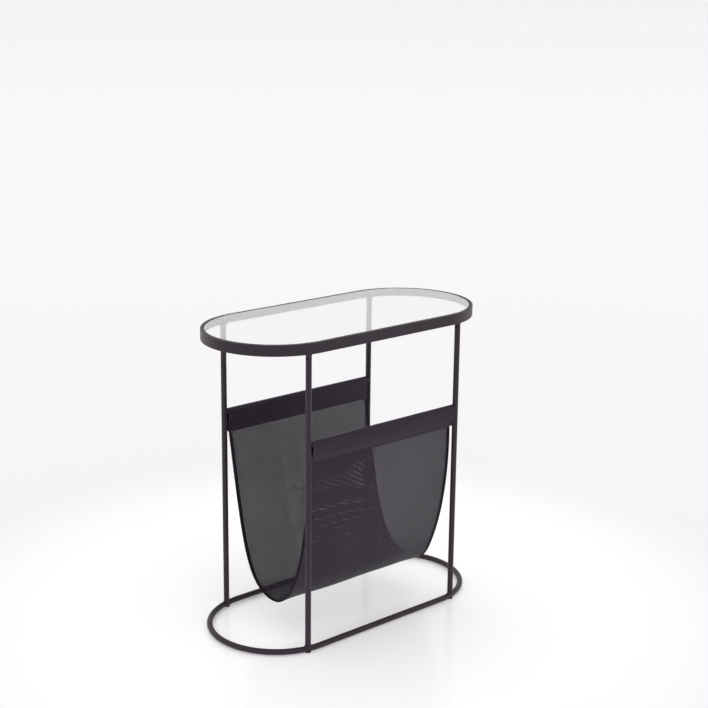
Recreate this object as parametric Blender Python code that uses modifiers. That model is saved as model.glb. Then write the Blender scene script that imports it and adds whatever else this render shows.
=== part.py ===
"""Side table with a glass top and a hanging mesh magazine sling.

A stadium-shaped glass plate lies flush inside a flat steel band. Four round legs stand on a
ring of round rod, and two rods between the legs carry a sling of mesh cloth. The origin is
on the floor under the middle of the table: X along its length, Y to its back, Z up, metres.
"""

import math

import bmesh
import bpy
from mathutils import Matrix, Vector
from mathutils.geometry import interpolate_bezier

# Overall size
LENGTH = 0.540
DEPTH = 0.250
HEIGHT = 0.540

# Top: flat steel band, and the glass plate inside it
RIM_HEIGHT = 0.0185
RIM_THICKNESS = 0.005
GLASS_THICKNESS = 0.005
GLASS_CLEARANCE = 0.001
TAB_LENGTH = 0.012
TAB_WIDTH = 0.014
TAB_THICKNESS = 0.003
BUMPER_DIAMETER = 0.008
BUMPER_HEIGHT = 0.0012

# Legs and base ring
LEG_DIAMETER = 0.010
LEG_X = 0.168
LEG_Y = 0.1165
BASE_LENGTH = 0.532
BASE_DEPTH = 0.248
BASE_DIAMETER = 0.010
GLIDE_DIAMETER = 0.011
GLIDE_SIDE_HEIGHT = 0.0036
BASE_LIFT = 0.0012

# Sling: two rods, the mesh cloth hung over them, and the tape that binds its side edges
ROD_DIAMETER = 0.010
SLING_TOP = 0.374
HEM_DEPTH = 0.0435
CLOTH_THICKNESS = 0.0008
HEM_HALF_WIDTH = 0.1625
SLING_HALF_WIDTH = 0.1625
TAPE_WIDTH = 0.0065
TAPE_THICKNESS = 0.0006
TAPE_END_DROP = 0.003
SEAM_FRONT_Y = -0.109
SEAM_BACK_Y = 0.1075
SLING_BOTTOM_Y = -0.020
SLING_BOTTOM_Z = 0.0555

GAP = 0.0003
ARC_STEPS = 36
ROUND_SIDES = 24

LEG_RADIUS = LEG_DIAMETER / 2
ROD_RADIUS = ROD_DIAMETER / 2
BASE_RADIUS = BASE_DIAMETER / 2
BASE_Z = BASE_LIFT + BASE_RADIUS
RIM_BOTTOM = HEIGHT - RIM_HEIGHT
GLASS_BOTTOM = HEIGHT - GLASS_THICKNESS
BUMPER_TOP = GLASS_BOTTOM - GAP
TAB_TOP = BUMPER_TOP - BUMPER_HEIGHT - GAP
ROD_Z = SLING_TOP - CLOTH_THICKNESS - GAP - ROD_RADIUS
SEAM_Z = SLING_TOP - HEM_DEPTH
END_CENTRE_X = (LENGTH - DEPTH) / 2
CORNERS = (
    ("front_left", -1, -1),
    ("front_right", 1, -1),
    ("back_left", -1, 1),
    ("back_right", 1, 1),
)


# ---------------------------------------------------------------- scene and materials

def clear_scene():
    for old in list(bpy.data.objects):
        bpy.data.objects.remove(old, do_unlink=True)


def make_collection(name):
    collection = bpy.data.collections.new(name)
    bpy.context.scene.collection.children.link(collection)
    return collection


def make_material(name, colour, roughness, metallic=0.0, transmission=0.0):
    material = bpy.data.materials.new(name)
    material.use_nodes = True
    shader = material.node_tree.nodes["Principled BSDF"]
    shader.inputs["Base Color"].default_value = (*colour, 1.0)
    shader.inputs["Roughness"].default_value = roughness
    shader.inputs["Metallic"].default_value = metallic
    shader.inputs["Transmission Weight"].default_value = transmission
    return material


def add_object(name, mesh, collection, material=None):
    thing = bpy.data.objects.new(name, mesh)
    collection.objects.link(thing)
    if material:
        mesh.materials.clear()
        mesh.materials.append(material)
    return thing


def shade(thing):
    thing.data.shade_smooth()
    thing.data.set_sharp_from_angle(angle=math.radians(35))


# ---------------------------------------------------------------- shapes

def stadium(length, depth):
    """Points round an outline of two straight sides and two half circles."""
    radius = depth / 2
    centre = length / 2 - radius
    points = []
    for side, start in ((1, -90), (-1, 90)):
        for step in range(ARC_STEPS + 1):
            angle = math.radians(start + 180 * step / ARC_STEPS)
            points.append((side * centre + radius * math.cos(angle), radius * math.sin(angle)))
    return points


def curve_to_mesh(name, curve):
    """The curve's evaluated mesh with its loose caps welded on."""
    guide = bpy.data.objects.new(name + "_curve", curve)
    bpy.context.scene.collection.objects.link(guide)
    bpy.context.view_layer.update()
    graph = bpy.context.evaluated_depsgraph_get()
    mesh = bpy.data.meshes.new_from_object(guide.evaluated_get(graph))
    bpy.data.objects.remove(guide)
    shape = bmesh.new()
    shape.from_mesh(mesh)
    bmesh.ops.remove_doubles(shape, verts=shape.verts, dist=0.000001)
    shape.to_mesh(mesh)
    shape.free()
    mesh.name = name
    return mesh


def plate_mesh(name, outlines, z_low, z_high):
    """A flat plate from 2D outlines; a second outline inside the first is a hole."""
    curve = bpy.data.curves.new(name, "CURVE")
    curve.dimensions = "2D"
    curve.fill_mode = "BOTH"
    curve.extrude = (z_high - z_low) / 2
    for outline in outlines:
        spline = curve.splines.new("POLY")
        spline.points.add(len(outline) - 1)
        for point, (x, y) in zip(spline.points, outline):
            point.co = (x, y, 0, 1)
        spline.use_cyclic_u = True
    mesh = curve_to_mesh(name, curve)
    mesh.transform(Matrix.Translation((0, 0, (z_low + z_high) / 2)))
    return mesh


def ring_mesh(name, outline, z, radius):
    """A closed ring of round rod along an outline."""
    curve = bpy.data.curves.new(name, "CURVE")
    curve.dimensions = "3D"
    curve.bevel_depth = radius
    curve.bevel_resolution = (ROUND_SIDES - 4) // 2
    curve.fill_mode = "FULL"
    spline = curve.splines.new("POLY")
    spline.points.add(len(outline) - 1)
    for point, (x, y) in zip(spline.points, outline):
        point.co = (x, y, z, 1)
    spline.use_cyclic_u = True
    return curve_to_mesh(name, curve)


def cylinder_mesh(name, radius, start, end, sides=ROUND_SIDES):
    """A capped cylinder between two points."""
    axis = Vector(end) - Vector(start)
    shape = bmesh.new()
    bmesh.ops.create_cone(
        shape, cap_ends=True, segments=sides, radius1=radius, radius2=radius, depth=axis.length
    )
    turn = Vector((0, 0, 1)).rotation_difference(axis).to_matrix()
    bmesh.ops.rotate(shape, verts=shape.verts, matrix=turn)
    bmesh.ops.translate(shape, verts=shape.verts, vec=(Vector(start) + Vector(end)) / 2)
    mesh = bpy.data.meshes.new(name)
    shape.to_mesh(mesh)
    shape.free()
    return mesh


def box_mesh(name, low, high):
    shape = bmesh.new()
    bmesh.ops.create_cube(shape, size=1)
    size = [high[i] - low[i] for i in range(3)]
    centre = [(high[i] + low[i]) / 2 for i in range(3)]
    bmesh.ops.scale(shape, verts=shape.verts, vec=size)
    bmesh.ops.translate(shape, verts=shape.verts, vec=centre)
    mesh = bpy.data.meshes.new(name)
    shape.to_mesh(mesh)
    shape.free()
    return mesh


def strip_mesh(name, path, x_low, x_high):
    """An open surface: a path in the YZ plane drawn out along X."""
    shape = bmesh.new()
    rows = []
    for y, z in path:
        rows.append((shape.verts.new((x_low, y, z)), shape.verts.new((x_high, y, z))))
    for (a, b), (c, d) in zip(rows, rows[1:]):
        shape.faces.new((a, b, d, c))
    mesh = bpy.data.meshes.new(name)
    shape.to_mesh(mesh)
    shape.free()
    return mesh


def add_solidify(thing, thickness):
    solidify = thing.modifiers.new("thickness", "SOLIDIFY")
    solidify.thickness = thickness
    solidify.offset = 0
    solidify.use_even_offset = True


def add_bevel(thing, width, segments=2):
    bevel = thing.modifiers.new("edges", "BEVEL")
    bevel.width = width
    bevel.segments = segments
    bevel.limit_method = "ANGLE"
    bevel.angle_limit = math.radians(40)


def cut(thing, cutter):
    boolean = thing.modifiers.new("cut_by_" + cutter.name, "BOOLEAN")
    boolean.operation = "DIFFERENCE"
    boolean.solver = "EXACT"
    boolean.object = cutter


def hide_cutter(cutter):
    cutter.hide_render = True
    cutter.display_type = "WIRE"


# ---------------------------------------------------------------- sling profile

def sling_profile():
    """The cloth's hanging U from the front seam to the back seam, as (y, z) points."""
    front = Vector((SEAM_FRONT_Y, SEAM_Z, 0))
    bottom = Vector((SLING_BOTTOM_Y, SLING_BOTTOM_Z, 0))
    back = Vector((SEAM_BACK_Y, SEAM_Z, 0))
    front_pull = Vector((SEAM_FRONT_Y - 0.001, 0.190, 0))
    back_pull = Vector((SEAM_BACK_Y - 0.0335, 0.123, 0))
    front_belly = bottom - Vector((0.0525, 0, 0))
    back_belly = bottom + Vector((0.080, 0, 0))
    half_one = interpolate_bezier(front, front_pull, front_belly, bottom, 26)
    half_two = interpolate_bezier(bottom, back_belly, back_pull, back, 26)
    return [(point.x, point.y) for point in half_one + half_two[1:]]


def hem_loop(side, seam_y):
    """The loose end of the cloth inside the seam, up, over the rod and down to the seam."""
    radius = ROD_RADIUS + GAP + CLOTH_THICKNESS / 2
    centre = Vector((side * LEG_Y, ROD_Z))
    seam = Vector((seam_y, SEAM_Z))
    loose_end = seam + Vector((-side * 0.0016, 0.0012))
    points = [tuple(loose_end)]
    reach = seam - centre
    down = math.atan2(reach.y, reach.x)
    spread = math.acos(radius / reach.length)
    inner = down - side * spread
    outer = down + side * spread
    if side > 0:
        inner += 2 * math.pi
    else:
        outer += 2 * math.pi
    steps = 16
    for step in range(steps + 1):
        angle = inner + (outer - inner) * step / steps
        points.append((centre.x + radius * math.cos(angle), centre.y + radius * math.sin(angle)))
    return points


def below(profile, z_limit):
    """The part of the profile under a height, cut square at both ends."""
    inside = [point for point in profile if point[1] < z_limit]
    first = profile.index(inside[0])
    last = profile.index(inside[-1])
    ends = []
    for outer, inner in ((profile[first - 1], inside[0]), (profile[last + 1], inside[-1])):
        share = (z_limit - inner[1]) / (outer[1] - inner[1])
        ends.append((inner[0] + share * (outer[0] - inner[0]), z_limit))
    return [ends[0]] + inside + [ends[1]]


def cloth_path():
    front = hem_loop(-1, SEAM_FRONT_Y)
    back = hem_loop(1, SEAM_BACK_Y)
    return front + sling_profile() + back[::-1]


# ---------------------------------------------------------------- sub-parts

def build_top(parts, steel, glass, silicone):
    inner_length = LENGTH - 2 * RIM_THICKNESS
    inner_depth = DEPTH - 2 * RIM_THICKNESS
    outlines = (stadium(LENGTH, DEPTH), stadium(inner_length, inner_depth))
    rim = add_object("top_rim", plate_mesh("top_rim", outlines, RIM_BOTTOM, HEIGHT), parts, steel)
    add_bevel(rim, 0.0005, 1)
    shade(rim)

    glass_outline = stadium(inner_length - 2 * GLASS_CLEARANCE, inner_depth - 2 * GLASS_CLEARANCE)
    plate = plate_mesh("glass_top", (glass_outline,), GLASS_BOTTOM, HEIGHT)
    pane = add_object("glass_top", plate, parts, glass)
    add_bevel(pane, 0.0006, 2)
    shade(pane)

    for corner, side_x, side_y in CORNERS:
        across = LEG_X - END_CENTRE_X
        direction = Vector((side_x * across, side_y * LEG_Y, 0)).normalized()
        end_centre = Vector((side_x * END_CENTRE_X, 0, 0))
        wall = DEPTH / 2 - RIM_THICKNESS
        corner_reach = math.sqrt(wall ** 2 - (TAB_WIDTH / 2) ** 2) - GAP
        middle = end_centre + direction * (corner_reach - TAB_LENGTH / 2)
        half = (TAB_LENGTH / 2, TAB_WIDTH / 2, TAB_THICKNESS)
        tab_mesh = box_mesh("rest_tab_" + corner, (-half[0], -half[1], -half[2]), (half[0], half[1], 0))
        tab = add_object("rest_tab_" + corner, tab_mesh, parts, steel)
        tab.location = (middle.x, middle.y, TAB_TOP)
        tab.rotation_euler = (0, 0, math.atan2(direction.y, direction.x))
        add_bevel(tab, 0.0005, 1)
        shade(tab)

        low = (middle.x, middle.y, BUMPER_TOP - BUMPER_HEIGHT)
        high = (middle.x, middle.y, BUMPER_TOP)
        bumper_mesh = cylinder_mesh("bumper_" + corner, BUMPER_DIAMETER / 2, low, high)
        bumper = add_object("bumper_" + corner, bumper_mesh, parts, silicone)
        add_bevel(bumper, 0.0003, 1)
        shade(bumper)


def build_base(parts, cutters, steel, plastic):
    path = stadium(BASE_LENGTH - BASE_DIAMETER, BASE_DEPTH - BASE_DIAMETER)
    ring = add_object("base_ring", ring_mesh("base_ring", path, BASE_Z, BASE_RADIUS), parts, steel)
    shade(ring)
    groove_mesh = ring_mesh("base_groove", path, BASE_Z, BASE_RADIUS + GAP)
    groove = add_object("base_groove", groove_mesh, cutters)
    hide_cutter(groove)

    ring_radius = (BASE_DEPTH - BASE_DIAMETER) / 2
    ring_centre_x = (BASE_LENGTH - BASE_DEPTH) / 2
    glide_y = math.sqrt(ring_radius ** 2 - (LEG_X - ring_centre_x) ** 2)
    for corner, side_x, side_y in CORNERS:
        x = side_x * LEG_X
        y = side_y * LEG_Y
        leg_mesh = cylinder_mesh("leg_" + corner, LEG_RADIUS, (x, y, BASE_Z), (x, y, RIM_BOTTOM - GAP))
        leg = add_object("leg_" + corner, leg_mesh, parts, steel)
        cut(leg, groove)
        shade(leg)

        foot = (x, side_y * glide_y, 0)
        top = (x, side_y * glide_y, GLIDE_SIDE_HEIGHT)
        glide_mesh = cylinder_mesh("floor_glide_" + corner, GLIDE_DIAMETER / 2, foot, top)
        glide = add_object("floor_glide_" + corner, glide_mesh, parts, plastic)
        cut(glide, groove)
        shade(glide)


def build_sling(parts, cutters, steel, cloth, tape):
    for name, side_y in (("front", -1), ("back", 1)):
        y = side_y * LEG_Y
        rod_mesh = cylinder_mesh("sling_rod_" + name, ROD_RADIUS, (-LEG_X, y, ROD_Z), (LEG_X, y, ROD_Z))
        rod = add_object("sling_rod_" + name, rod_mesh, parts, steel)
        for side_x in (-1, 1):
            x = side_x * LEG_X
            low = (x, y, ROD_Z - 0.02)
            high = (x, y, ROD_Z + 0.02)
            cope_name = f"cope_{name}_{'left' if side_x < 0 else 'right'}"
            cope = add_object(cope_name, cylinder_mesh(cope_name, LEG_RADIUS + GAP, low, high), cutters)
            hide_cutter(cope)
            cut(rod, cope)
        shade(rod)

    sling_mesh = strip_mesh("sling_cloth", cloth_path(), -HEM_HALF_WIDTH, HEM_HALF_WIDTH)
    sling = add_object("sling_cloth", sling_mesh, parts, cloth)
    add_solidify(sling, CLOTH_THICKNESS)

    profile = sling_profile()
    below_seam = below(profile, SEAM_Z - TAPE_END_DROP)
    slot_half = CLOTH_THICKNESS / 2 + GAP
    fold_x = SLING_HALF_WIDTH - TAPE_THICKNESS
    for name, side_x in (("left", -1), ("right", 1)):
        near = side_x * (fold_x - GAP)
        far = side_x * (HEM_HALF_WIDTH + 0.01)
        low = (min(near, far), -DEPTH / 2, 0)
        high = (max(near, far), DEPTH / 2, SEAM_Z - 0.0015)
        trim = add_object("trim_" + name, box_mesh("trim_" + name, low, high), cutters)
        hide_cutter(trim)
        cut(sling, trim)

        ends = sorted((side_x * (SLING_HALF_WIDTH - TAPE_WIDTH), side_x * SLING_HALF_WIDTH))
        tape_mesh = strip_mesh("binding_" + name, below_seam, *ends)
        binding = add_object("binding_" + name, tape_mesh, parts, tape)
        add_solidify(binding, 2 * (slot_half + TAPE_THICKNESS))

        slot_ends = sorted((side_x * (SLING_HALF_WIDTH - 2 * TAPE_WIDTH), side_x * fold_x))
        slot = add_object("slot_" + name, strip_mesh("slot_" + name, profile, *slot_ends), cutters)
        add_solidify(slot, 2 * slot_half)
        hide_cutter(slot)
        cut(binding, slot)
        shade(binding)
    shade(sling)


def build():
    clear_scene()
    parts = make_collection("side_table")
    cutters = make_collection("side_table_cutters")
    steel = make_material("black_steel", (0.028, 0.027, 0.029), 0.45, metallic=0.2)
    glass = make_material("clear_glass", (0.93, 0.97, 0.95), 0.03, transmission=1.0)
    silicone = make_material("clear_silicone", (0.85, 0.86, 0.86), 0.35, transmission=0.6)
    plastic = make_material("black_plastic", (0.02, 0.02, 0.02), 0.55)
    cloth = make_material("mesh_cloth", (0.035, 0.033, 0.037), 0.75)
    tape = make_material("binding_tape", (0.018, 0.017, 0.019), 0.85)
    build_top(parts, steel, glass, silicone)
    build_base(parts, cutters, steel, plastic)
    build_sling(parts, cutters, steel, cloth, tape)


build()
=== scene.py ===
import math

import bmesh
import bpy
from mathutils import Matrix, Vector
from mathutils.geometry import interpolate_bezier


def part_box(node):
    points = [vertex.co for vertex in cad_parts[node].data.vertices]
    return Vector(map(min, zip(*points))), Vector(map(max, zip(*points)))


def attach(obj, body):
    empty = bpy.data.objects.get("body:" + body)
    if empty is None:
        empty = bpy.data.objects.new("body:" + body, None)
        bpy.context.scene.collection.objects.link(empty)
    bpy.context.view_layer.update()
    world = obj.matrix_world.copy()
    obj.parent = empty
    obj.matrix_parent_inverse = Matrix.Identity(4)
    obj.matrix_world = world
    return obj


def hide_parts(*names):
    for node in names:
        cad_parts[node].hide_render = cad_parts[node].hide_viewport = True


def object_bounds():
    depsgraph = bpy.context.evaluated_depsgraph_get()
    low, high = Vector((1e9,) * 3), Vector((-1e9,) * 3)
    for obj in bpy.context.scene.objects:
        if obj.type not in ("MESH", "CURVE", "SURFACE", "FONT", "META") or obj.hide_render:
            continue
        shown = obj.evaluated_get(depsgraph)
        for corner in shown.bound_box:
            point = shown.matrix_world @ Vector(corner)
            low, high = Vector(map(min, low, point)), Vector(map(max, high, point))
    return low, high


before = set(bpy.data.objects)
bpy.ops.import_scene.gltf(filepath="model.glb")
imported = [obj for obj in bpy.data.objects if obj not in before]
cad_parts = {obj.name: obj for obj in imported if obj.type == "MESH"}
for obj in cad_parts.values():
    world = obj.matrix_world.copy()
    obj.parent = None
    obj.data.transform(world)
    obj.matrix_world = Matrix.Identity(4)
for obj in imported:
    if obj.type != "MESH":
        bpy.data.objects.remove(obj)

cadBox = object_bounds()
corners = [f"{endName}_{sideName}" for endName in ("front", "back") for sideName in ("left", "right")]


# ---- helpers for meshes and node trees

def put(name, mesh, material, body, cadNode=None):  # a finished piece of the table
    piece = bpy.data.objects.new(name, mesh)
    bpy.context.scene.collection.objects.link(piece)
    mesh.name = name
    mesh.materials.clear()
    mesh.materials.append(material)
    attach(piece, body)
    if cadNode:
        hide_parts(cadNode)
    return piece


def bake(thing, name):  # the object's evaluated shape as a plain mesh; the object goes
    bpy.context.view_layer.update()
    mesh = bpy.data.meshes.new_from_object(thing.evaluated_get(bpy.context.evaluated_depsgraph_get()))
    bpy.data.objects.remove(thing)
    mesh.name = name
    return mesh


def evenNormals(mesh):  # flats stay flat beside small rounded edges
    mesh.shade_smooth()
    holder = bpy.data.objects.new(mesh.name, mesh)
    bpy.context.scene.collection.objects.link(holder)
    holder.modifiers.new("even", "WEIGHTED_NORMAL").keep_sharp = True
    return bake(holder, mesh.name)


def finish(name, shape, uvLayer=None, places=None):  # places: where each vertex lies on the flat cloth
    bmesh.ops.recalc_face_normals(shape, faces=shape.faces)
    if uvLayer:
        for face in shape.faces:
            for loop in face.loops:
                loop[uvLayer].uv = places[loop.vert]
    mesh = bpy.data.meshes.new(name)
    shape.to_mesh(mesh)
    shape.free()
    return mesh


def loftMesh(name, rings, caps=True):  # closed rings of points joined by quads
    shape = bmesh.new()
    rows = [[shape.verts.new(point) for point in ring] for ring in rings]
    count = len(rows[0])
    for near, far in zip(rows, rows[1:]):
        for i in range(count):
            j = (i + 1) % count
            shape.faces.new((near[i], near[j], far[j], far[i]))
    if caps:
        shape.faces.new(rows[0][::-1])
        shape.faces.new(rows[-1])
    return finish(name, shape)


def make(tree, kind, feeds=None, **settings):  # one node, its inputs set or linked
    node = tree.nodes.new(kind)
    for name, value in settings.items():
        setattr(node, name, value)
    for name, value in (feeds or {}).items():
        if isinstance(value, bpy.types.NodeSocket):
            tree.links.new(value, node.inputs[name])
        else:
            node.inputs[name].default_value = value
    return node


def calc(tree, operation, *terms):
    return make(tree, "ShaderNodeMath", dict(enumerate(terms)), operation=operation).outputs[0]


def newTree(name, kind, inputs, outputs):  # a node group with named sockets
    tree = bpy.data.node_groups.new(name, kind)
    for label, socketType, value in inputs:
        item = tree.interface.new_socket(label, in_out="INPUT", socket_type="NodeSocket" + socketType)
        if value is not None:
            item.default_value = value
    for label, socketType in outputs:
        tree.interface.new_socket(label, in_out="OUTPUT", socket_type="NodeSocket" + socketType)
    return tree, tree.nodes.new("NodeGroupInput").outputs, tree.nodes.new("NodeGroupOutput")


def grow(name, tree, values, source=None):  # a Geometry Nodes tree's result as a plain mesh
    holder = bpy.data.objects.new(name, source or bpy.data.meshes.new(name))
    bpy.context.scene.collection.objects.link(holder)
    modifier = holder.modifiers.new(name, "NODES")
    modifier.node_group = tree
    for item in tree.interface.items_tree:
        if item.in_out == "INPUT" and item.name in values:
            modifier[item.identifier] = values[item.name]
    return bake(holder, name)


# ---- shader groups that several materials share

def grainGroup():  # powder and moulding grain: small lumps, faint clouds, and painted top light: faces that point up get a lighter, rougher tone in cloudy patches
    tree, given, result = newTree("grain", "ShaderNodeTree", (
        ("Lump Scale", "Float", 900.0), ("Cloud Scale", "Float", 14.0), ("Base Roughness", "Float", 0.45),
        ("Roughness Spread", "Float", 0.1), ("Top Light", "Float", 0.1)),
        (("Tone", "Float"), ("Roughness", "Float"), ("Height", "Float")))
    place = make(tree, "ShaderNodeTexCoord").outputs["Object"]
    lumps = make(tree, "ShaderNodeTexNoise", {"Vector": place, "Scale": given["Lump Scale"], "Detail": 2.0})
    clouds = make(tree, "ShaderNodeTexNoise", {"Vector": place, "Scale": given["Cloud Scale"], "Detail": 4.0})
    facing = make(tree, "ShaderNodeSeparateXYZ", {0: make(tree, "ShaderNodeNewGeometry").outputs["Normal"]})
    # painted top light: faces that point up are made lighter, and rougher, in cloudy patches, as if lit from above
    upward = calc(tree, "MAXIMUM", facing.outputs["Z"], 0.0)
    topLight = calc(tree, "MULTIPLY", calc(tree, "MULTIPLY", upward, clouds.outputs["Fac"]), given["Top Light"])
    speck = calc(tree, "MULTIPLY", calc(tree, "SUBTRACT", lumps.outputs["Fac"], 0.5), 0.35)
    mottle = calc(tree, "ADD", clouds.outputs["Fac"], speck)
    spread = calc(tree, "MULTIPLY", calc(tree, "SUBTRACT", clouds.outputs["Fac"], 0.5), given["Roughness Spread"])
    rough = calc(tree, "ADD", calc(tree, "ADD", given["Base Roughness"], spread), topLight)
    for label, socket in (("Tone", calc(tree, "ADD", mottle, topLight)), ("Roughness", rough),
                          ("Height", lumps.outputs["Fac"])):
        tree.links.new(socket, result.inputs[label])
    return tree


def weaveGroup():  # plain weave on a UV map in metres: cover is 0 in the holes
    tree, given, result = newTree("weave", "ShaderNodeTree", (
        ("UV", "Vector", None), ("Pitch Across", "Float", 0.002), ("Pitch Along", "Float", 0.0016),
        ("Thread Share", "Float", 0.65), ("Uneven", "Float", 0.1)),
        (("Cover", "Float"), ("Height", "Float"), ("Tone", "Float")))
    flat = make(tree, "ShaderNodeSeparateXYZ", {0: given["UV"]})
    ridges, waves, yarns = [], [], []
    for axis, pitch in (("X", "Pitch Across"), ("Y", "Pitch Along")):
        steps = calc(tree, "DIVIDE", flat.outputs[axis], given[pitch])
        away = calc(tree, "ABSOLUTE", calc(tree, "SUBTRACT", calc(tree, "FRACT", steps), 0.5))
        whole = calc(tree, "FLOOR", steps)
        yarn = make(tree, "ShaderNodeTexWhiteNoise", {"W": whole}, noise_dimensions="1D").outputs["Value"]
        thicker = calc(tree, "MULTIPLY", calc(tree, "SUBTRACT", yarn, 0.5), given["Uneven"])
        share = calc(tree, "ADD", given["Thread Share"], thicker)
        ridges.append(calc(tree, "DIVIDE", calc(tree, "MULTIPLY", away, 2.0), share))
        waves.append(calc(tree, "SINE", calc(tree, "MULTIPLY", steps, math.pi)))
        yarns.append(yarn)
    crossing = calc(tree, "MULTIPLY", waves[0], waves[1])
    heights = []
    for ridge, sign in zip(ridges, (0.5, -0.5)):
        crown = calc(tree, "SUBTRACT", 1.0, calc(tree, "POWER", calc(tree, "MINIMUM", ridge, 1.0), 2.0))
        lift = calc(tree, "MULTIPLY_ADD", crossing, sign, 0.55)
        heights.append(calc(tree, "MULTIPLY", crown, lift))
    nearest = calc(tree, "MINIMUM", ridges[0], ridges[1])
    cover = make(tree, "ShaderNodeMapRange", {"Value": nearest, "From Min": 1.06, "From Max": 0.98})
    tone = calc(tree, "MULTIPLY", calc(tree, "ADD", yarns[0], yarns[1]), 0.5)
    for label, socket in (("Cover", cover.outputs["Result"]), ("Height", calc(tree, "MAXIMUM", *heights)),
                          ("Tone", tone)):
        tree.links.new(socket, result.inputs[label])
    return tree


grain = grainGroup()
weave = weaveGroup()


def startMaterial(name, **plain):  # plain: constant shader sockets, underscores for spaces
    material = bpy.data.materials.new(name)
    material.use_nodes = True
    tree = material.node_tree
    shader = tree.nodes["Principled BSDF"]
    for label, value in plain.items():
        shader.inputs[label.replace("_", " ")].default_value = value
    return material, tree, shader


def ramp(tree, factor, dark, light):
    mix = make(tree, "ShaderNodeMix", {"Factor": factor}, data_type="RGBA")
    mix.inputs[6].default_value = (*dark, 1)
    mix.inputs[7].default_value = (*light, 1)
    return mix.outputs[2]


def dress(tree, shader, node, look, strength):  # colour and relief from a shared group's Tone and Height
    tree.links.new(ramp(tree, node.outputs["Tone"], look["dark"], look["light"]), shader.inputs["Base Color"])
    bump = make(tree, "ShaderNodeBump", {"Height": node.outputs["Height"], "Distance": look["depth"],
                                         "Strength": strength})
    tree.links.new(bump.outputs["Normal"], shader.inputs["Normal"])


def coatedMaterial(name, look, **plain):  # paint, plastic and rubber: all grain, with their own values
    material, tree, shader = startMaterial(name, **plain)
    node = make(tree, "ShaderNodeGroup", node_tree=grain)
    for label in ("Lump Scale", "Cloud Scale", "Base Roughness", "Roughness Spread", "Top Light"):
        node.inputs[label].default_value = look[label]
    tree.links.new(node.outputs["Roughness"], shader.inputs["Roughness"])
    dress(tree, shader, node, look, 1.0)
    return material


def wovenMaterial(name, look, hems=None, **plain):  # hems: the mesh is open between these places along it
    material, tree, shader = startMaterial(name, **plain)
    uv = make(tree, "ShaderNodeUVMap", uv_map="cloth").outputs["UV"]
    node = make(tree, "ShaderNodeGroup", node_tree=weave)
    tree.links.new(uv, node.inputs["UV"])
    for label in ("Pitch Across", "Pitch Along", "Thread Share", "Uneven"):
        node.inputs[label].default_value = look[label]
    rough = calc(tree, "MULTIPLY_ADD", node.outputs["Tone"], 0.12, look["roughness"])
    tree.links.new(rough, shader.inputs["Roughness"])
    if hems:
        along = make(tree, "ShaderNodeSeparateXYZ", {0: uv}).outputs["Y"]
        middle = calc(tree, "ABSOLUTE", calc(tree, "SUBTRACT", along, (hems[0] + hems[1]) / 2))
        border = calc(tree, "GREATER_THAN", middle, (hems[1] - hems[0]) / 2)
        tree.links.new(calc(tree, "MAXIMUM", node.outputs["Cover"], border), shader.inputs["Alpha"])
    dress(tree, shader, node, look, 0.8)
    return material


# Top Light: how much painted top light each finish gets on its upward faces
steelLook = {"dark": (0.0085, 0.0048, 0.0080), "light": (0.0155, 0.0095, 0.0148), "depth": 0.00003,
             "Lump Scale": 1100.0, "Cloud Scale": 9.0, "Base Roughness": 0.43, "Roughness Spread": 0.14, "Top Light": 0.12}
plasticLook = {"dark": (0.009, 0.009, 0.009), "light": (0.016, 0.016, 0.016), "depth": 0.00002,
               "Lump Scale": 2200.0, "Cloud Scale": 40.0, "Base Roughness": 0.55, "Roughness Spread": 0.1, "Top Light": 0.05}
siliconeLook = {"dark": (0.80, 0.82, 0.82), "light": (0.88, 0.90, 0.90), "depth": 0.00001,
                "Lump Scale": 1500.0, "Cloud Scale": 90.0, "Base Roughness": 0.28, "Roughness Spread": 0.1, "Top Light": 0.02}
threadLook = {"dark": (0.007, 0.0045, 0.0075), "light": (0.013, 0.009, 0.0135), "depth": 0.00004,
              "Lump Scale": 4200.0, "Cloud Scale": 60.0, "Base Roughness": 0.6, "Roughness Spread": 0.1, "Top Light": 0.0}
meshLook = {"dark": (0.0118, 0.0082, 0.0135), "light": (0.0175, 0.0132, 0.0200), "depth": 0.00008, "Uneven": 0.07,
            "Pitch Across": 0.0022, "Pitch Along": 0.0014, "Thread Share": 0.70, "roughness": 0.48}
tapeLook = {"dark": (0.0065, 0.004, 0.007), "light": (0.0125, 0.0085, 0.0135), "depth": 0.00008,
            "Pitch Across": 0.0007, "Pitch Along": 0.0005, "Thread Share": 1.0, "Uneven": 0.0, "roughness": 0.66}

steelPaint = coatedMaterial("black_powder_coat", steelLook, Specular_Tint=(1.0, 0.86, 0.97, 1))
blackPlastic = coatedMaterial("black_plastic", plasticLook)
clearRubber = coatedMaterial("clear_silicone", siliconeLook, Transmission_Weight=0.55)
blackThread = coatedMaterial("black_thread", threadLook, Specular_IOR_Level=0.3)
bindingTape = wovenMaterial("binding_tape", tapeLook, Specular_IOR_Level=0.22, Specular_Tint=(1.0, 0.85, 1.0, 1))


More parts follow.
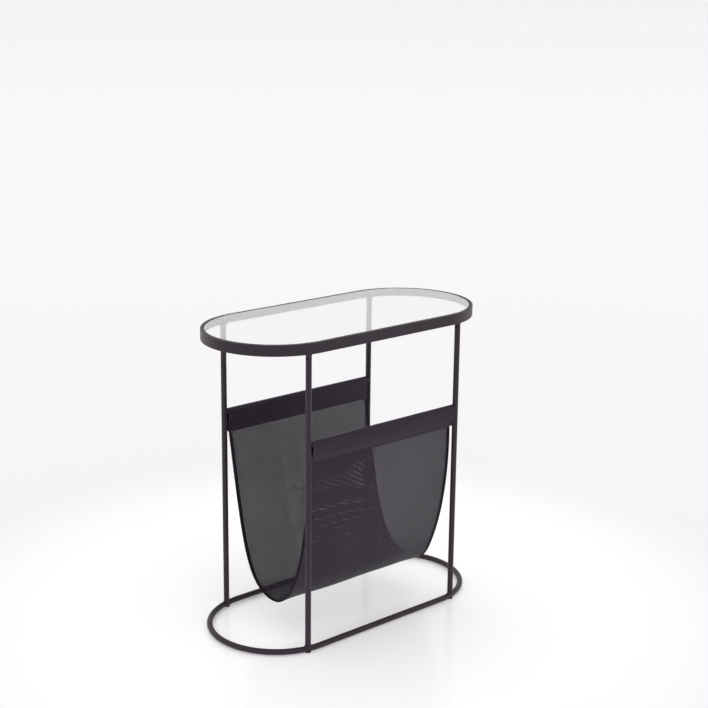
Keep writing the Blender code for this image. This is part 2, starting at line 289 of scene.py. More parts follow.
def glassMaterial():  # clear glass with a faint haze of wiping marks; shadows fall thinly through it
    material, tree, shader = startMaterial("clear_glass", Transmission_Weight=1.0, IOR=1.5, Coat_Weight=1.0,
                                           Coat_Roughness=0.015)
    place = make(tree, "ShaderNodeTexCoord").outputs["Object"]
    marks = make(tree, "ShaderNodeTexNoise", {"Vector": place, "Scale": 22.0, "Detail": 5.0, "Distortion": 0.6})
    tree.links.new(ramp(tree, marks.outputs["Fac"], (0.955, 0.968, 0.962), (0.975, 0.985, 0.98)),
                   shader.inputs["Base Color"])
    rough = make(tree, "ShaderNodeMapRange", {"Value": marks.outputs["Fac"], "To Min": 0.0, "To Max": 0.02})
    tree.links.new(rough.outputs["Result"], shader.inputs["Roughness"])
    clear = make(tree, "ShaderNodeBsdfTransparent", {"Color": (0.93, 0.95, 0.94, 1)})
    lamp = make(tree, "ShaderNodeLightPath").outputs["Is Shadow Ray"]
    mix = make(tree, "ShaderNodeMixShader", {0: lamp, 1: shader.outputs[0], 2: clear.outputs[0]})
    tree.links.new(mix.outputs[0], tree.nodes["Material Output"].inputs["Surface"])
    return material


clearGlass = glassMaterial()
print("materials made")


# ---- the steel band round the top and the ring on the floor: one tree sweeps both

def ovalBarTree():
    tree, given, result = newTree("oval_bar", "GeometryNodeTree", (
        ("Half Straight", "Float", 0.145), ("End Radius", "Float", 0.12), ("Path Points", "Int", 182),
        ("Height", "Float", 0.5), ("Bar Width", "Float", 0.005), ("Bar Height", "Float", 0.019),
        ("Edge Radius", "Float", 0.0006), ("Round Bar", "Bool", False), ("Bar Sides", "Int", 32),
        ("Material", "Material", None)), (("Geometry", "Geometry"),))
    circle = make(tree, "GeometryNodeCurvePrimitiveCircle", {"Resolution": given["Path Points"],
                                                             "Radius": given["End Radius"]})
    place = make(tree, "ShaderNodeSeparateXYZ", {0: make(tree, "GeometryNodeInputPosition").outputs[0]}).outputs
    apart = calc(tree, "MULTIPLY", calc(tree, "SIGN", place["X"]), given["Half Straight"])
    spread = make(tree, "ShaderNodeCombineXYZ", {"X": calc(tree, "ADD", place["X"], apart), "Y": place["Y"],
                                                 "Z": given["Height"]})
    oval = make(tree, "GeometryNodeSetPosition", {"Geometry": circle.outputs["Curve"], "Position": spread.outputs[0]})
    upright = make(tree, "GeometryNodeSetCurveNormal", {"Curve": oval.outputs[0]}, mode="Z_UP")
    flat = make(tree, "GeometryNodeCurvePrimitiveQuadrilateral", {"Width": given["Bar Width"],
                                                                  "Height": given["Bar Height"]})
    eased = make(tree, "GeometryNodeFilletCurve", {"Curve": flat.outputs[0], "Radius": given["Edge Radius"],
                                                   "Count": 4}, mode="POLY")
    rod = make(tree, "GeometryNodeCurvePrimitiveCircle", {
        "Resolution": given["Bar Sides"], "Radius": calc(tree, "MULTIPLY", given["Bar Width"], 0.5)})
    section = make(tree, "GeometryNodeSwitch", {"Switch": given["Round Bar"], "False": eased.outputs[0],
                                                "True": rod.outputs["Curve"]}, input_type="GEOMETRY")
    swept = make(tree, "GeometryNodeCurveToMesh", {"Curve": upright.outputs[0], "Profile Curve": section.outputs[0]})
    real = make(tree, "GeometryNodeRealizeInstances", {0: swept.outputs[0]})
    painted = make(tree, "GeometryNodeSetMaterial", {"Geometry": real.outputs[0], "Material": given["Material"]})
    tree.links.new(painted.outputs[0], result.inputs[0])
    return tree


ovalBar = ovalBarTree()

bandPlan = {"thickness": 0.005, "edge": 0.0006, "pathPoints": 182}
rimLow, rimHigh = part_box("top_rim")
rimRadius = (rimHigh.y - rimLow.y - bandPlan["thickness"]) / 2
endCentreX = rimHigh.x - rimHigh.y  # middle of each half-circle end
rimMesh = grow("rim_band", ovalBar, {
    "Half Straight": endCentreX, "End Radius": rimRadius, "Path Points": bandPlan["pathPoints"],
    "Height": (rimLow.z + rimHigh.z) / 2, "Bar Width": bandPlan["thickness"], "Bar Height": rimHigh.z - rimLow.z,
    "Edge Radius": bandPlan["edge"], "Round Bar": False, "Material": steelPaint})
put("rim_band", evenNormals(rimMesh), steelPaint, "frame", "top_rim")

ringPlan = {"bar": 0.010, "pathPoints": 190, "sides": 40}
ringLow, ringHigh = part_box("base_ring")
ringRadius = (ringHigh.y - ringLow.y - ringPlan["bar"]) / 2
ringCentreX = ringHigh.x - ringHigh.y
ringZ = (ringLow.z + ringHigh.z) / 2
ringMesh = grow("floor_ring", ovalBar, {
    "Half Straight": ringCentreX, "End Radius": ringRadius, "Path Points": ringPlan["pathPoints"], "Height": ringZ,
    "Bar Width": ringPlan["bar"], "Round Bar": True, "Bar Sides": ringPlan["sides"], "Material": steelPaint})
ringMesh.shade_smooth()
put("floor_ring", ringMesh, steelPaint, "frame", "base_ring")
print("band and ring swept")


# ---- the glass plate, with a polished edge

def ovalLine(halfStraight, radius, z, count):  # points round a stadium at one height
    points = []
    for i in range(count):
        angle = 2 * math.pi * (i + 0.5) / count
        x = radius * math.cos(angle)
        points.append(Vector((x + math.copysign(halfStraight, x), radius * math.sin(angle), z)))
    return points


glassPlan = {"edgeRadius": 0.0011, "edgeSteps": 6, "pathPoints": 184}
glassLow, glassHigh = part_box("glass_top")


def glassMesh():
    eased = glassPlan["edgeRadius"]
    rings = []
    for z, turn in ((glassLow.z, -90), (glassHigh.z, 0)):
        for step in range(glassPlan["edgeSteps"] + 1):
            angle = math.radians(turn + 90 * step / glassPlan["edgeSteps"])
            middle = z + eased if turn < 0 else z - eased
            rings.append(ovalLine(endCentreX, glassHigh.y - eased + eased * math.cos(angle),
                                  middle + eased * math.sin(angle), glassPlan["pathPoints"]))
    inner = glassHigh.y - 3 * eased
    rings.insert(0, ovalLine(endCentreX, inner, glassLow.z, glassPlan["pathPoints"]))
    rings.append(ovalLine(endCentreX, inner, glassHigh.z, glassPlan["pathPoints"]))
    return evenNormals(loftMesh("glass_plate", rings))


put("glass_plate", glassMesh(), clearGlass, "glass", "glass_top")


# ---- legs, with a fillet of weld at each end

legPlan = {"sides": 48, "diameter": 0.010}
weldPlan = {"sides": 56, "rings": 9, "alongTop": 0.0036, "acrossTop": 0.0006, "tallTop": 0.0056,
            "alongFoot": 0.0036, "acrossFoot": 0.0005, "tallFoot": 0.0058, "ripple": 0.00009,
            "core": 0.7, "sunk": 0.0008, "cap": 0.0002}
legRadius = legPlan["diameter"] / 2


def roundLine(centre, radius, sides, axis="Z"):
    points = []
    for i in range(sides):
        angle = 2 * math.pi * i / sides
        across, up = radius * math.cos(angle), radius * math.sin(angle)
        points.append(centre + (Vector((across, up, 0)) if axis == "Z" else Vector((0, across, up))))
    return points


def weldMesh(name, foot, along, heading, baseHeight, sizes):
    # foot: where the leg's axis meets the joint; heading: +1 if the leg runs up from it, -1 if down
    flareAlong, flareAcross, tall = sizes
    rings = []
    steps = weldPlan["rings"]
    for step in range(-1, steps + 2):
        theta = math.radians(90 * min(max(step, 0), steps) / steps)
        ring = []
        for i in range(weldPlan["sides"]):
            angle = 2 * math.pi * i / weldPlan["sides"]
            direction = Vector((math.cos(angle), math.sin(angle), 0))
            share = direction.dot(along) ** 2
            flare = flareAlong * share + flareAcross * (1 - share)
            ripple = weldPlan["ripple"] * (math.sin(7 * angle + foot.x * 90) + 0.6 * math.sin(13 * angle + 2))
            reach = legRadius + flare * (1 - math.sin(theta)) + ripple * math.cos(theta)
            outer = foot + direction * (legRadius + flare)
            start = baseHeight(outer)
            height = start + heading * tall * (1 - math.cos(theta))
            if step < 0:
                reach, height = legRadius * weldPlan["core"], start - heading * weldPlan["sunk"]
            elif step > steps:
                reach, height = legRadius * weldPlan["core"], height + heading * weldPlan["cap"]
            ring.append(Vector((foot.x, foot.y, height)) + direction * reach)
        rings.append(ring)
    return loftMesh(name, rings)


def awayFromRing(point):  # how far outside the floor ring's centre line a point is
    return math.hypot(point.x - math.copysign(ringCentreX, point.x), point.y) - ringRadius


def ringTop(point):  # height of the floor ring's upper side under a point
    away = awayFromRing(point)
    return ringZ + math.sqrt(max((ringPlan["bar"] / 2) ** 2 - away ** 2, 0.0000015))


for corner in corners:
    low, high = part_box("leg_" + corner)
    x, y = (low.x + high.x) / 2, (low.y + high.y) / 2
    bar = [roundLine(Vector((x, y, z)), legRadius - ease, legPlan["sides"])
           for z, ease in ((ringZ + 0.001, 0), (ringZ + 0.012, 0), (high.z - 0.012, 0), (high.z, 0))]
    legMesh = loftMesh("leg_bar_" + corner, bar)
    put("leg_bar_" + corner, evenNormals(legMesh), steelPaint, "frame", "leg_" + corner)

    away = Vector((x - math.copysign(endCentreX, x), y, 0))
    along = away.normalized().cross(Vector((0, 0, 1)))
    topWeld = weldMesh("weld_top_" + corner, Vector((x, y, rimLow.z)), along, -1, lambda point: rimLow.z + 0.0002,
                       (weldPlan["alongTop"], weldPlan["acrossTop"], weldPlan["tallTop"]))
    put("weld_top_" + corner, evenNormals(topWeld), steelPaint, "frame")
    footWeld = weldMesh("weld_foot_" + corner, Vector((x, y, ringZ)), along, 1, ringTop,
                        (weldPlan["alongFoot"], weldPlan["acrossFoot"], weldPlan["tallFoot"]))
    put("weld_foot_" + corner, evenNormals(footWeld), steelPaint, "frame")
print("legs and welds made")


# ---- rest tabs and clear bumpers under the glass, glides under the ring

tabPlan = {"length": 0.012, "width": 0.014, "thickness": 0.003, "round": 0.003, "edge": 0.0004}
bumperPlan = {"diameter": 0.008, "sides": 40, "rings": 7}
glidePlan = {"sides": 48, "rings": 14, "edge": 0.0006, "clear": 0.00012}


def tabMesh(name, middle, turn, top):  # a small plate with rounded corners
    half = (tabPlan["length"] / 2, tabPlan["width"] / 2)
    rings = []
    for drop, inset in ((tabPlan["thickness"], tabPlan["edge"]), (tabPlan["thickness"] - tabPlan["edge"], 0),
                        (tabPlan["edge"], 0), (0, tabPlan["edge"])):
        ring = []
        for quarter, (signX, signY) in enumerate(((1, 1), (-1, 1), (-1, -1), (1, -1))):
            for step in range(7):
                angle = math.radians(90 * quarter + 90 * step / 6)
                radius = tabPlan["round"] - inset
                spot = Vector((signX * (half[0] - tabPlan["round"]) + radius * math.cos(angle),
                               signY * (half[1] - tabPlan["round"]) + radius * math.sin(angle), 0))
                spot.rotate(Matrix.Rotation(turn, 3, "Z"))
                ring.append(middle + spot + Vector((0, 0, top - drop)))
        rings.append(ring)
    return loftMesh(name, rings)


def domeMesh(name, low, high, radius):  # a bumper with a rounded shoulder
    middle = Vector(((low.x + high.x) / 2, (low.y + high.y) / 2, 0))
    tall = high.z - low.z
    rings = [roundLine(middle + Vector((0, 0, low.z)), radius - 0.0002, bumperPlan["sides"]),
             roundLine(middle + Vector((0, 0, low.z + 0.0002)), radius, bumperPlan["sides"])]
    for step in range(1, bumperPlan["rings"] + 1):
        angle = math.radians(90 * step / bumperPlan["rings"])
        rings.append(roundLine(middle + Vector((0, 0, low.z + 0.0002 + (tall - 0.0002) * math.sin(angle))),
                               radius * (0.45 + 0.55 * math.cos(angle)), bumperPlan["sides"]))
    return loftMesh(name, rings)


def glideMesh(name, low, high):  # a saddle pad: flat below, hollowed for the ring above
    middle = Vector(((low.x + high.x) / 2, (low.y + high.y) / 2, 0))
    radius = (high.x - low.x) / 2
    hollow = ringPlan["bar"] / 2 + glidePlan["clear"]
    sides = glidePlan["sides"]

    def topHeight(point):
        return min(high.z, ringZ - math.sqrt(max(hollow ** 2 - awayFromRing(point) ** 2, 0)))

    eased = glidePlan["edge"]
    rings = [roundLine(middle + Vector((0, 0, low.z)), radius - eased, sides),
             roundLine(middle + Vector((0, 0, low.z + eased * 0.3)), radius - eased * 0.3, sides),
             roundLine(middle + Vector((0, 0, low.z + eased)), radius, sides)]
    for step in range(glidePlan["rings"]):
        share = 1 - step / glidePlan["rings"]
        ring = roundLine(middle, radius * share - (eased * 0.2 if step else 0), sides)
        drop = eased * 0.4 if step == 0 else 0
        rings.append([point + Vector((0, 0, max(topHeight(point) - drop, eased * 1.2))) for point in ring])
    return loftMesh(name, rings)


for corner in corners:
    low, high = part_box("rest_tab_" + corner)
    middle = Vector(((low.x + high.x) / 2, (low.y + high.y) / 2, 0))
    turn = math.atan2(middle.y, middle.x - math.copysign(endCentreX, middle.x))
    put("rest_plate_" + corner, evenNormals(tabMesh("rest_plate_" + corner, middle, turn, high.z)), steelPaint,
        "frame", "rest_tab_" + corner)
    low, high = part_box("bumper_" + corner)
    put("bumper_dome_" + corner, evenNormals(domeMesh("bumper_dome_" + corner, low, high,
        bumperPlan["diameter"] / 2)), clearRubber, "frame", "bumper_" + corner)
    low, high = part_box("floor_glide_" + corner)
    put("glide_pad_" + corner, evenNormals(glideMesh("glide_pad_" + corner, low, high)), blackPlastic,
        "frame", "floor_glide_" + corner)
print("small fittings made")


# ---- the sling: rods, mesh cloth with a sleeve at each end, edge tapes and stitches

slingPlan = {"thickness": 0.00015, "looseFold": 0.009, "seamFrontY": -0.109, "seamBackY": 0.1115,
             "bottomY": -0.020, "hemDepth": 0.0435, "panelHalf": 0.1616, "columns": 56, "panelStep": 0.0042,
             "sag": 0.0007, "tilt": 0.0018, "curl": 0.0028, "wrinkle": 0.0018, "wallDrop": 0.030,
             "bottomRise": 0.0004}
# how far the hanging U's curve handles reach: from the seams down, and along its lowest line
handlePlan = {"frontIn": 0.001, "frontZ": 0.190, "lowFront": 0.0525, "lowBack": 0.078, "backIn": 0.0415,
              "backZ": 0.098}
rodPlan = {"sides": 40, "slack": 0.0002}
clothLow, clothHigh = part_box("sling_cloth")
rodLow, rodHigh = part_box("sling_rod_front")
rodRadius = (rodHigh.z - rodLow.z) / 2
rodZ = (rodHigh.z + rodLow.z) / 2
legY = -(rodHigh.y + rodLow.y) / 2
hemHalf = clothHigh.x
seamZ = clothHigh.z - slingPlan["hemDepth"]
bottomZ = clothLow.z + slingPlan["bottomRise"]


def flatPoint(y, z):  # a point in the sling's side view
    return Vector((y, z, 0))


for name in ("front", "back"):
    low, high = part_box("sling_rod_" + name)
    y = (low.y + high.y) / 2
    bar = [roundLine(Vector((x, y, rodZ)), rodRadius, rodPlan["sides"], "X")
           for x in (low.x - 0.001, low.x + 0.01, high.x - 0.01, high.x + 0.001)]
    put("rod_bar_" + name, evenNormals(loftMesh("rod_bar_" + name, bar)), steelPaint, "frame",
        "sling_rod_" + name)


def panelLine():  # the hanging U from the front seam to the back seam, even steps
    front, back = flatPoint(slingPlan["seamFrontY"], seamZ), flatPoint(slingPlan["seamBackY"], seamZ)
    bottom = flatPoint(slingPlan["bottomY"], bottomZ)
    reach = handlePlan
    rough = interpolate_bezier(front, flatPoint(front.x - reach["frontIn"], reach["frontZ"]),
                               bottom - flatPoint(reach["lowFront"], 0), bottom, 200)
    rough += interpolate_bezier(bottom, bottom + flatPoint(reach["lowBack"], 0),
                                flatPoint(back.x - reach["backIn"], reach["backZ"]), back, 200)[1:]
    lengths = [0.0]
    for near, far in zip(rough, rough[1:]):
        lengths.append(lengths[-1] + (far - near).length)
    count = round(lengths[-1] / slingPlan["panelStep"])
    line, k = [], 0
    for i in range(count + 1):
        goal = lengths[-1] * i / count
        while k < len(rough) - 2 and lengths[k + 1] < goal:
            k += 1
        share = (goal - lengths[k]) / (lengths[k + 1] - lengths[k])
        line.append(rough[k].lerp(rough[k + 1], share))
    return line


def sleeveLine(side, seam, hang):  # from the turned-under raw edge, up, over the rod and down to the seam
    layer = slingPlan["thickness"] + 0.0001
    inward = flatPoint(-side, 0)
    centre = flatPoint(side * legY, rodZ)
    radius = rodRadius + rodPlan["slack"] + slingPlan["thickness"] / 2
    line = [seam + inward * layer - hang * (slingPlan["looseFold"] * share + 0.0005) for share in (1, 0.66, 0.33, 0)]
    for step in range(1, 6):
        angle = math.pi * step / 6
        line.append(seam + inward * layer * (1.5 - 0.5 * math.cos(angle)) - hang * 0.0005
                    + hang * layer * 0.5 * math.sin(angle))
    start = seam + inward * layer * 2 - hang * 0.0005
    inner = centre + inward * radius
    line += interpolate_bezier(start, start - hang * 0.014, inner - flatPoint(0, 0.012), inner, 15)
    for step in range(1, 18):
        angle = math.pi * step / 18
        line.append(centre + inward * radius * math.cos(angle) + flatPoint(0, radius * math.sin(angle)))
    outer = centre - inward * radius
    line += interpolate_bezier(outer, outer - flatPoint(0, slingPlan["wallDrop"]),
                               seam - inward * 0.007 - hang * 0.003, seam, 16)
    return line[:-1]


panel = panelLine()
frontSleeve = sleeveLine(-1, panel[0], (panel[1] - panel[0]).normalized())
backSleeve = sleeveLine(1, panel[-1], (panel[-2] - panel[-1]).normalized())
clothLine = frontSleeve + panel + backSleeve[::-1]
firstPanel, lastPanel = len(frontSleeve), len(frontSleeve) + len(panel) - 1


def outward(line, i):  # the side of the cloth away from the pocket
    along = (line[min(i + 1, len(line) - 1)] - line[max(i - 1, 0)]).normalized()
    return flatPoint(along.y, -along.x)


lineLengths = [0.0]
for near, far in zip(clothLine, clothLine[1:]):
    lineLengths.append(lineLengths[-1] + (far - near).length)
outwards = [outward(clothLine, i) for i in range(len(clothLine))]
panelLength = lineLengths[lastPanel] - lineLengths[firstPanel]


def ease(value):
    value = min(max(value, 0), 1)
    return value * value * (3 - 2 * value)


def lift(x, i):  # how far the cloth stands off its line: soft waves in the panel, creases in the sleeves
    here = lineLengths[i]
    if firstPanel <= i <= lastPanel:
        share = (here - lineLengths[firstPanel]) / panelLength
        fade = math.sin(math.pi * share) ** 0.7 if 0 < share < 1 else 0
        soft = math.sin(x * 19 + share * 5.1) + 0.6 * math.sin(x * 43 - share * 9.3 + 1.7)
        curl = (math.exp(-((share - 0.505) / 0.04) ** 2) * ease((-x / hemHalf - 0.8) / 0.2)
                + math.exp(-((share - 0.425) / 0.05) ** 2) * ease((x / hemHalf - 0.7) / 0.3))
        return fade * (slingPlan["sag"] * soft + slingPlan["tilt"] * x / hemHalf) + slingPlan["curl"] * curl
    fade = ease(1 - abs(clothLine[i].y - rodZ + 0.008) / 0.006)
    pucker = max(math.sin(x * 148 + 0.9 * math.sin(x * 37 + 1.0)), 0) ** 2
    return slingPlan["wrinkle"] * fade * pucker * (0.55 - 1.8 * x)


def clothSpot(x, i, off=0.0):  # a point on the cloth, off: metres outward from its middle
    spot = clothLine[i] + outwards[i] * (lift(x, i) + off)
    return Vector((x, spot.x, spot.y))


def edgeAt(i):  # half the cloth's width: wide sleeves, narrower panel inside the tapes
    if i < firstPanel or i > lastPanel:
        return hemHalf
    depth = min(lineLengths[i] - lineLengths[firstPanel], lineLengths[lastPanel] - lineLengths[i])
    return hemHalf + (slingPlan["panelHalf"] - hemHalf) * ease(depth / 0.004)


def clothMesh(name):
    half = slingPlan["thickness"] / 2
    columns = slingPlan["columns"]
    shape = bmesh.new()
    uvLayer = shape.loops.layers.uv.new("cloth")
    places = {}
    layers = []
    for off in (half, -half):
        rows = []
        for i in range(len(clothLine)):
            row = []
            for j in range(columns + 1):
                x = edgeAt(i) * (2 * j / columns - 1)
                vertex = shape.verts.new(clothSpot(x, i, off))
                places[vertex] = (x, lineLengths[i])
                row.append(vertex)
            rows.append(row)
        layers.append(rows)
    outer, inner = layers
    last = len(clothLine) - 1
    for i in range(last):
        for j in range(columns):
            shape.faces.new((outer[i][j], outer[i + 1][j], outer[i + 1][j + 1], outer[i][j + 1]))
            shape.faces.new((inner[i][j], inner[i][j + 1], inner[i + 1][j + 1], inner[i + 1][j]))
        for j in (0, columns):
            shape.faces.new((outer[i][j], outer[i + 1][j], inner[i + 1][j], inner[i][j]))
    for i in (0, last):
        for j in range(columns):
            shape.faces.new((outer[i][j], outer[i][j + 1], inner[i][j + 1], inner[i][j]))
    return finish(name, shape, uvLayer, places)


meshCloth = wovenMaterial("sling_mesh", meshLook, (lineLengths[firstPanel], lineLengths[lastPanel]),
                          Specular_IOR_Level=0.36, Specular_Tint=(0.96, 0.83, 1.0, 1))
slingMesh = clothMesh("sling_mesh_cloth")
slingMesh.shade_smooth()
slingMesh.set_sharp_from_angle(angle=math.radians(60))
sling = put("sling_mesh_cloth", slingMesh, meshCloth, "frame", "sling_cloth")

tapePlan = {"half": 0.1625, "width": 0.0065, "thickness": 0.00045, "gap": 0.00008, "start": 0.0016}


def tapeSection():  # a folded strip round the cloth's edge: (distance in from the fold, off the cloth)
    inner = slingPlan["thickness"] / 2 + tapePlan["gap"]
    outer = inner + tapePlan["thickness"]
    points = [(tapePlan["width"], inner + 0.0001), (tapePlan["width"] + 0.0001, outer - 0.00012),
              (tapePlan["width"] - 0.0002, outer), (tapePlan["width"] * 0.5, outer + 0.00003)]
    for step in range(7):
        angle = math.pi / 2 * (1 - step / 3)
        points.append((outer * (1 - math.cos(angle)), outer * math.sin(angle)))
    mirrored = [(a, -b) for a, b in points[:4]][::-1]
    points += mirrored
    back = tapePlan["thickness"] + tapePlan["gap"]
    points += [(tapePlan["width"] * 0.5, -inner), (back, -inner), (back, inner), (tapePlan["width"] * 0.5, inner)]
    return points


def tapeMesh(name, side):
    section = tapeSection()
    shape = bmesh.new()
    uvLayer = shape.loops.layers.uv.new("cloth")
    places = {}
    rings = []
    lowest, highest = lineLengths[firstPanel] + tapePlan["start"], lineLengths[lastPanel] - tapePlan["start"]
    around = [0.0]
    for near, far in zip(section, section[1:] + section[:1]):
        around.append(around[-1] + math.dist(near, far))
    for i in range(firstPanel, lastPanel + 1):
        ring = []
        for k, (depth, off) in enumerate(section):
            x = side * (tapePlan["half"] - depth)
            if i == firstPanel:
                share = (lowest - lineLengths[i]) / (lineLengths[i + 1] - lineLengths[i])
                spot = clothSpot(x, i, off).lerp(clothSpot(x, i + 1, off), share)
            elif i == lastPanel:
                share = (lineLengths[i] - highest) / (lineLengths[i] - lineLengths[i - 1])
                spot = clothSpot(x, i, off).lerp(clothSpot(x, i - 1, off), share)
            else:
                spot = clothSpot(x, i, off)
            vertex = shape.verts.new(spot)
            places[vertex] = (around[k], lineLengths[i])
            ring.append(vertex)
        rings.append(ring)
    count = len(section)
    for near, far in zip(rings, rings[1:]):
        for k in range(count):
            shape.faces.new((near[k], near[(k + 1) % count], far[(k + 1) % count], far[k]))
    shape.faces.new(rings[0])
    shape.faces.new(rings[-1][::-1])
    mesh = finish(name, shape, uvLayer, places)
    mesh.shade_smooth()
    mesh.set_sharp_from_angle(angle=math.radians(50))
    return mesh


tapes = [put("edge_tape_" + name, tapeMesh("edge_tape_" + name, side), bindingTape, "frame",
             "binding_" + name) for name, side in (("left", -1), ("right", 1))]
print("sling and tapes made")


# ---- stitches, laid by a tree along rows of guide points

def stitchTree():
    tree, given, result = newTree("stitch_rows", "GeometryNodeTree", (
        ("Geometry", "Geometry", None), ("Pitch", "Float", 0.0034), ("Length", "Float", 0.0027),
        ("Thread Radius", "Float", 0.0002), ("Rise", "Float", 0.0004), ("Jitter", "Float", 0.06),
        ("Seed", "Int", 7), ("Material", "Material", None)), (("Geometry", "Geometry"),))
    rows = make(tree, "GeometryNodeMeshToCurve", {"Mesh": given["Geometry"]})
    spots = make(tree, "GeometryNodeResampleCurve", {"Curve": rows.outputs[0], "Length": given["Pitch"]},
                 mode="LENGTH")
    half = calc(tree, "MULTIPLY", given["Length"], 0.5)
    sink = calc(tree, "MULTIPLY", given["Thread Radius"], -1.4)
    start = make(tree, "ShaderNodeCombineXYZ", {"X": calc(tree, "MULTIPLY", half, -1.0), "Z": sink})
    crown = make(tree, "ShaderNodeCombineXYZ", {"Z": given["Rise"]})
    end = make(tree, "ShaderNodeCombineXYZ", {"X": half, "Z": sink})
    arch = make(tree, "GeometryNodeCurveQuadraticBezier", {
        "Resolution": 5, "Start": start.outputs[0], "Middle": crown.outputs[0], "End": end.outputs[0]})
    strand = make(tree, "GeometryNodeCurvePrimitiveCircle", {"Resolution": 6, "Radius": given["Thread Radius"]})
    stitch = make(tree, "GeometryNodeCurveToMesh", {"Curve": arch.outputs[0], "Profile Curve": strand.outputs[0],
                                                    "Fill Caps": True})
    smooth = make(tree, "GeometryNodeSetShadeSmooth", {"Geometry": stitch.outputs[0]})
    tangent = make(tree, "GeometryNodeInputTangent").outputs[0]
    facing = make(tree, "GeometryNodeInputNamedAttribute", {"Name": "facing"}, data_type="FLOAT_VECTOR").outputs[0]
    along = make(tree, "FunctionNodeAlignRotationToVector", {"Vector": tangent}, axis="X")
    turned = make(tree, "FunctionNodeAlignRotationToVector", {"Rotation": along.outputs[0], "Vector": facing},
                  axis="Z", pivot_axis="X")
    size = make(tree, "FunctionNodeRandomValue", {
        "Min": calc(tree, "SUBTRACT", 1.0, given["Jitter"]), "Max": calc(tree, "ADD", 1.0, given["Jitter"]),
        "Seed": given["Seed"]}, data_type="FLOAT")
    placed = make(tree, "GeometryNodeInstanceOnPoints", {
        "Points": spots.outputs[0], "Instance": smooth.outputs[0], "Rotation": turned.outputs[0],
        "Scale": size.outputs["Value"]})
    real = make(tree, "GeometryNodeRealizeInstances", {0: placed.outputs[0]})
    dyed = make(tree, "GeometryNodeSetMaterial", {"Geometry": real.outputs[0], "Material": given["Material"]})
    tree.links.new(dyed.outputs[0], result.inputs[0])
    return tree


stitchPlan = {"pitch": 0.0034, "length": 0.0027, "radius": 0.0002, "rise": 0.00042, "jitter": 0.06, "seed": 7,
              "seamRise": 0.0028, "tapeIn": 0.0049, "endIn": 0.003, "rowSteps": 64}


def guideMesh(name, rows):  # rows of (point, facing)
    mesh = bpy.data.meshes.new(name)
    points = [spot for row in rows for spot, facing in row]
    links, first = [], 0
    for row in rows:
        links += [(first + k, first + k + 1) for k in range(len(row) - 1)]
        first += len(row)
    mesh.from_pydata(points, links, [])
    attribute = mesh.attributes.new("facing", "FLOAT_VECTOR", "POINT")
    attribute.data.foreach_set("vector", [value for row in rows for spot, facing in row for value in facing])
    return mesh


def acrossRow(i, off):  # a row from side to side on the cloth at one place along it
    facing = Vector((0, outwards[i].x, outwards[i].y)) * math.copysign(1, off)
    steps = stitchPlan["rowSteps"]
    return [(clothSpot((hemHalf - stitchPlan["endIn"]) * (2 * k / steps - 1), i, off), facing)
            for k in range(steps + 1)]


def downRow(side, off):  # a row along a tape from seam to seam
    x = side * (tapePlan["half"] - stitchPlan["tapeIn"])
    return [(clothSpot(x, i, off), Vector((0, outwards[i].x, outwards[i].y)) * math.copysign(1, off))
            for i in range(firstPanel + 1, lastPanel)]


def nearestLine(first, last, z):  # the cloth line in this range whose height is nearest to z
    return min(range(first, last), key=lambda i: abs(clothLine[i].y - z))


clothTop = slingPlan["thickness"] / 2
tapeTop = clothTop + tapePlan["gap"] + tapePlan["thickness"]
seamLevel = seamZ + stitchPlan["seamRise"]
outerLines, foldLines, innerLines = 12, 9, 22  # cloth lines in a sleeve's outer wall, its fold and up to its rod
outerFront = nearestLine(firstPanel - outerLines, firstPanel, seamLevel)
outerBack = nearestLine(lastPanel + 1, lastPanel + 1 + outerLines, seamLevel)
innerFront = nearestLine(foldLines, innerLines, seamLevel)
innerBack = nearestLine(len(clothLine) - innerLines, len(clothLine) - foldLines, seamLevel)
seamRows = [acrossRow(i, clothTop) for i in (outerFront, outerBack, innerFront, innerBack)]
tapeRows = [downRow(side, off) for side in (-1, 1) for off in (tapeTop, -tapeTop)]
stitchNodes = stitchTree()
stitchValues = {"Pitch": stitchPlan["pitch"], "Length": stitchPlan["length"], "Thread Radius": stitchPlan["radius"],
                "Rise": stitchPlan["rise"], "Jitter": stitchPlan["jitter"], "Seed": stitchPlan["seed"],
                "Material": blackThread}
stitches = [put(name, grow(name, stitchNodes, stitchValues, guideMesh(name, rows)), blackThread, "frame") for name, rows in (("seam_stitches", seamRows), ("tape_stitches", tapeRows))]
print("stitches laid")


# ---- floor, light and camera

# glow keys: painted light, a pool of light emitted by the floor round the table that fades with distance
studioPlan = {"floorRadius": 320.0, "skyStrength": 0.92, "skyColour": (1.0, 0.985, 1.004), "glow": 0.25,
              "glowFar": 0.085, "glowFrom": 0.42, "glowTo": 0.85, "fadeFrom": 3.5, "fadeTo": 24.0}


def floorMesh():  # a wide flat floor, finer near the table
    rings = [roundLine(Vector((0, 0, 0)), radius, 96) for radius in (0.6, 1.5, 4, 12, 40, studioPlan["floorRadius"])]
    mesh = loftMesh("studio_floor", rings, caps=False)
    shape = bmesh.new()
    shape.from_mesh(mesh)
    bmesh.ops.contextual_create(shape, geom=[edge for edge in shape.edges if edge.is_boundary
                                             and edge.verts[0].co.length < 1])
    for face in shape.faces:
        face.normal_update()
    bmesh.ops.reverse_faces(shape, faces=[face for face in shape.faces if face.normal.z < 0])
    shape.to_mesh(mesh)
    shape.free()
    return mesh


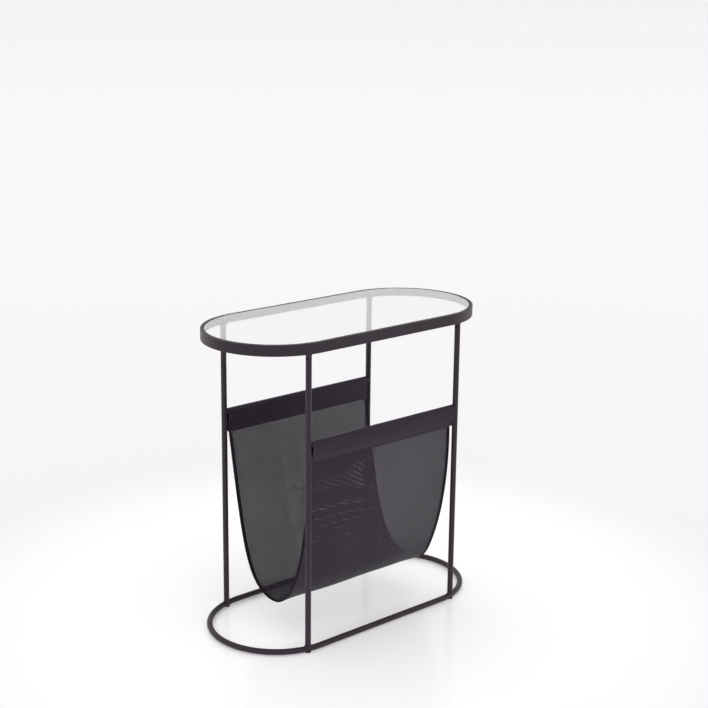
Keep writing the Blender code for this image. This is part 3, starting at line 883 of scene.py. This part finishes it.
def floorMaterial():
    material, tree, shader = startMaterial("studio_floor", Specular_IOR_Level=0.25)
    place = make(tree, "ShaderNodeTexCoord").outputs["Object"]
    clouds = make(tree, "ShaderNodeTexNoise", {"Vector": place, "Scale": 1.3, "Detail": 3.0})
    tree.links.new(ramp(tree, clouds.outputs["Fac"], (0.904, 0.904, 0.908), (0.911, 0.911, 0.915)),
                   shader.inputs["Base Color"])
    rough = make(tree, "ShaderNodeMapRange", {"Value": clouds.outputs["Fac"], "To Min": 0.16, "To Max": 0.18})
    tree.links.new(rough.outputs["Result"], shader.inputs["Roughness"])
    # painted light: the floor emits a pool of light round the table, fading outward, which lifts the shade under the
    # sling
    away = make(tree, "ShaderNodeVectorMath", {0: place}, operation="LENGTH").outputs["Value"]
    near = make(tree, "ShaderNodeMapRange", {
        "Value": away, "From Min": studioPlan["glowFrom"], "From Max": studioPlan["glowTo"],
        "To Min": studioPlan["glow"], "To Max": studioPlan["glowFar"]}, interpolation_type="SMOOTHSTEP")
    fade = make(tree, "ShaderNodeMapRange", {"Value": away, "From Min": studioPlan["fadeFrom"],
                                             "From Max": studioPlan["fadeTo"], "To Min": 1.0, "To Max": 0.1})
    glow = calc(tree, "MULTIPLY", near.outputs["Result"], fade.outputs["Result"])
    tree.links.new(ramp(tree, glow, (0, 0, 0), studioPlan["skyColour"]), shader.inputs["Emission Color"])
    under = make(tree, "ShaderNodeNewGeometry").outputs["Backfacing"]  # open from below, so the underside can be seen
    tree.links.new(calc(tree, "SUBTRACT", 1.0, under), shader.inputs["Alpha"])
    shader.inputs["Emission Strength"].default_value = 1.0
    return material


floorThing = bpy.data.objects.new("studio_floor", floorMesh())
floorThing.data.materials.append(floorMaterial())
bpy.context.scene.collection.objects.link(floorThing)

world = bpy.data.worlds.new("soft_sky")
world.use_nodes = True
sky = world.node_tree.nodes["Background"]
sky.inputs["Color"].default_value = (*studioPlan["skyColour"], 1)
sky.inputs["Strength"].default_value = studioPlan["skyStrength"]
bpy.context.scene.world = world

cameraPlan = {"azimuth": -40.44, "elevation": 14.146, "distance": 2.5169, "right": -0.0069, "up": 0.2305,
              "roll": 0.4365, "lens": 71.965, "shiftX": 0.0236, "shiftY": -0.03082, "farthest": 1000.0}


def placeCamera():
    camera = bpy.data.cameras.new("camera")
    camera.sensor_width = 36
    camera.clip_end = cameraPlan["farthest"]
    camera.lens = cameraPlan["lens"]
    camera.shift_x = cameraPlan["shiftX"]
    camera.shift_y = cameraPlan["shiftY"]
    azimuth, elevation = math.radians(cameraPlan["azimuth"]), math.radians(cameraPlan["elevation"])
    back = Vector((math.sin(azimuth) * math.cos(elevation), -math.cos(azimuth) * math.cos(elevation),
                   math.sin(elevation)))
    right = Vector((math.cos(azimuth), math.sin(azimuth), 0))
    up = back.cross(right)
    centre = (cadBox[0] + cadBox[1]) / 2
    spot = centre + back * cameraPlan["distance"] + right * cameraPlan["right"] + up * cameraPlan["up"]
    turn = Matrix((right, up, back)).transposed() @ Matrix.Rotation(math.radians(cameraPlan["roll"]), 3, "Z")
    thing = bpy.data.objects.new("camera", camera)
    thing.matrix_world = Matrix.Translation(spot) @ turn.to_4x4()
    bpy.context.scene.collection.objects.link(thing)
    bpy.context.scene.camera = thing


placeCamera()
bpy.context.scene.view_settings.view_transform = "Standard"
print("studio set")
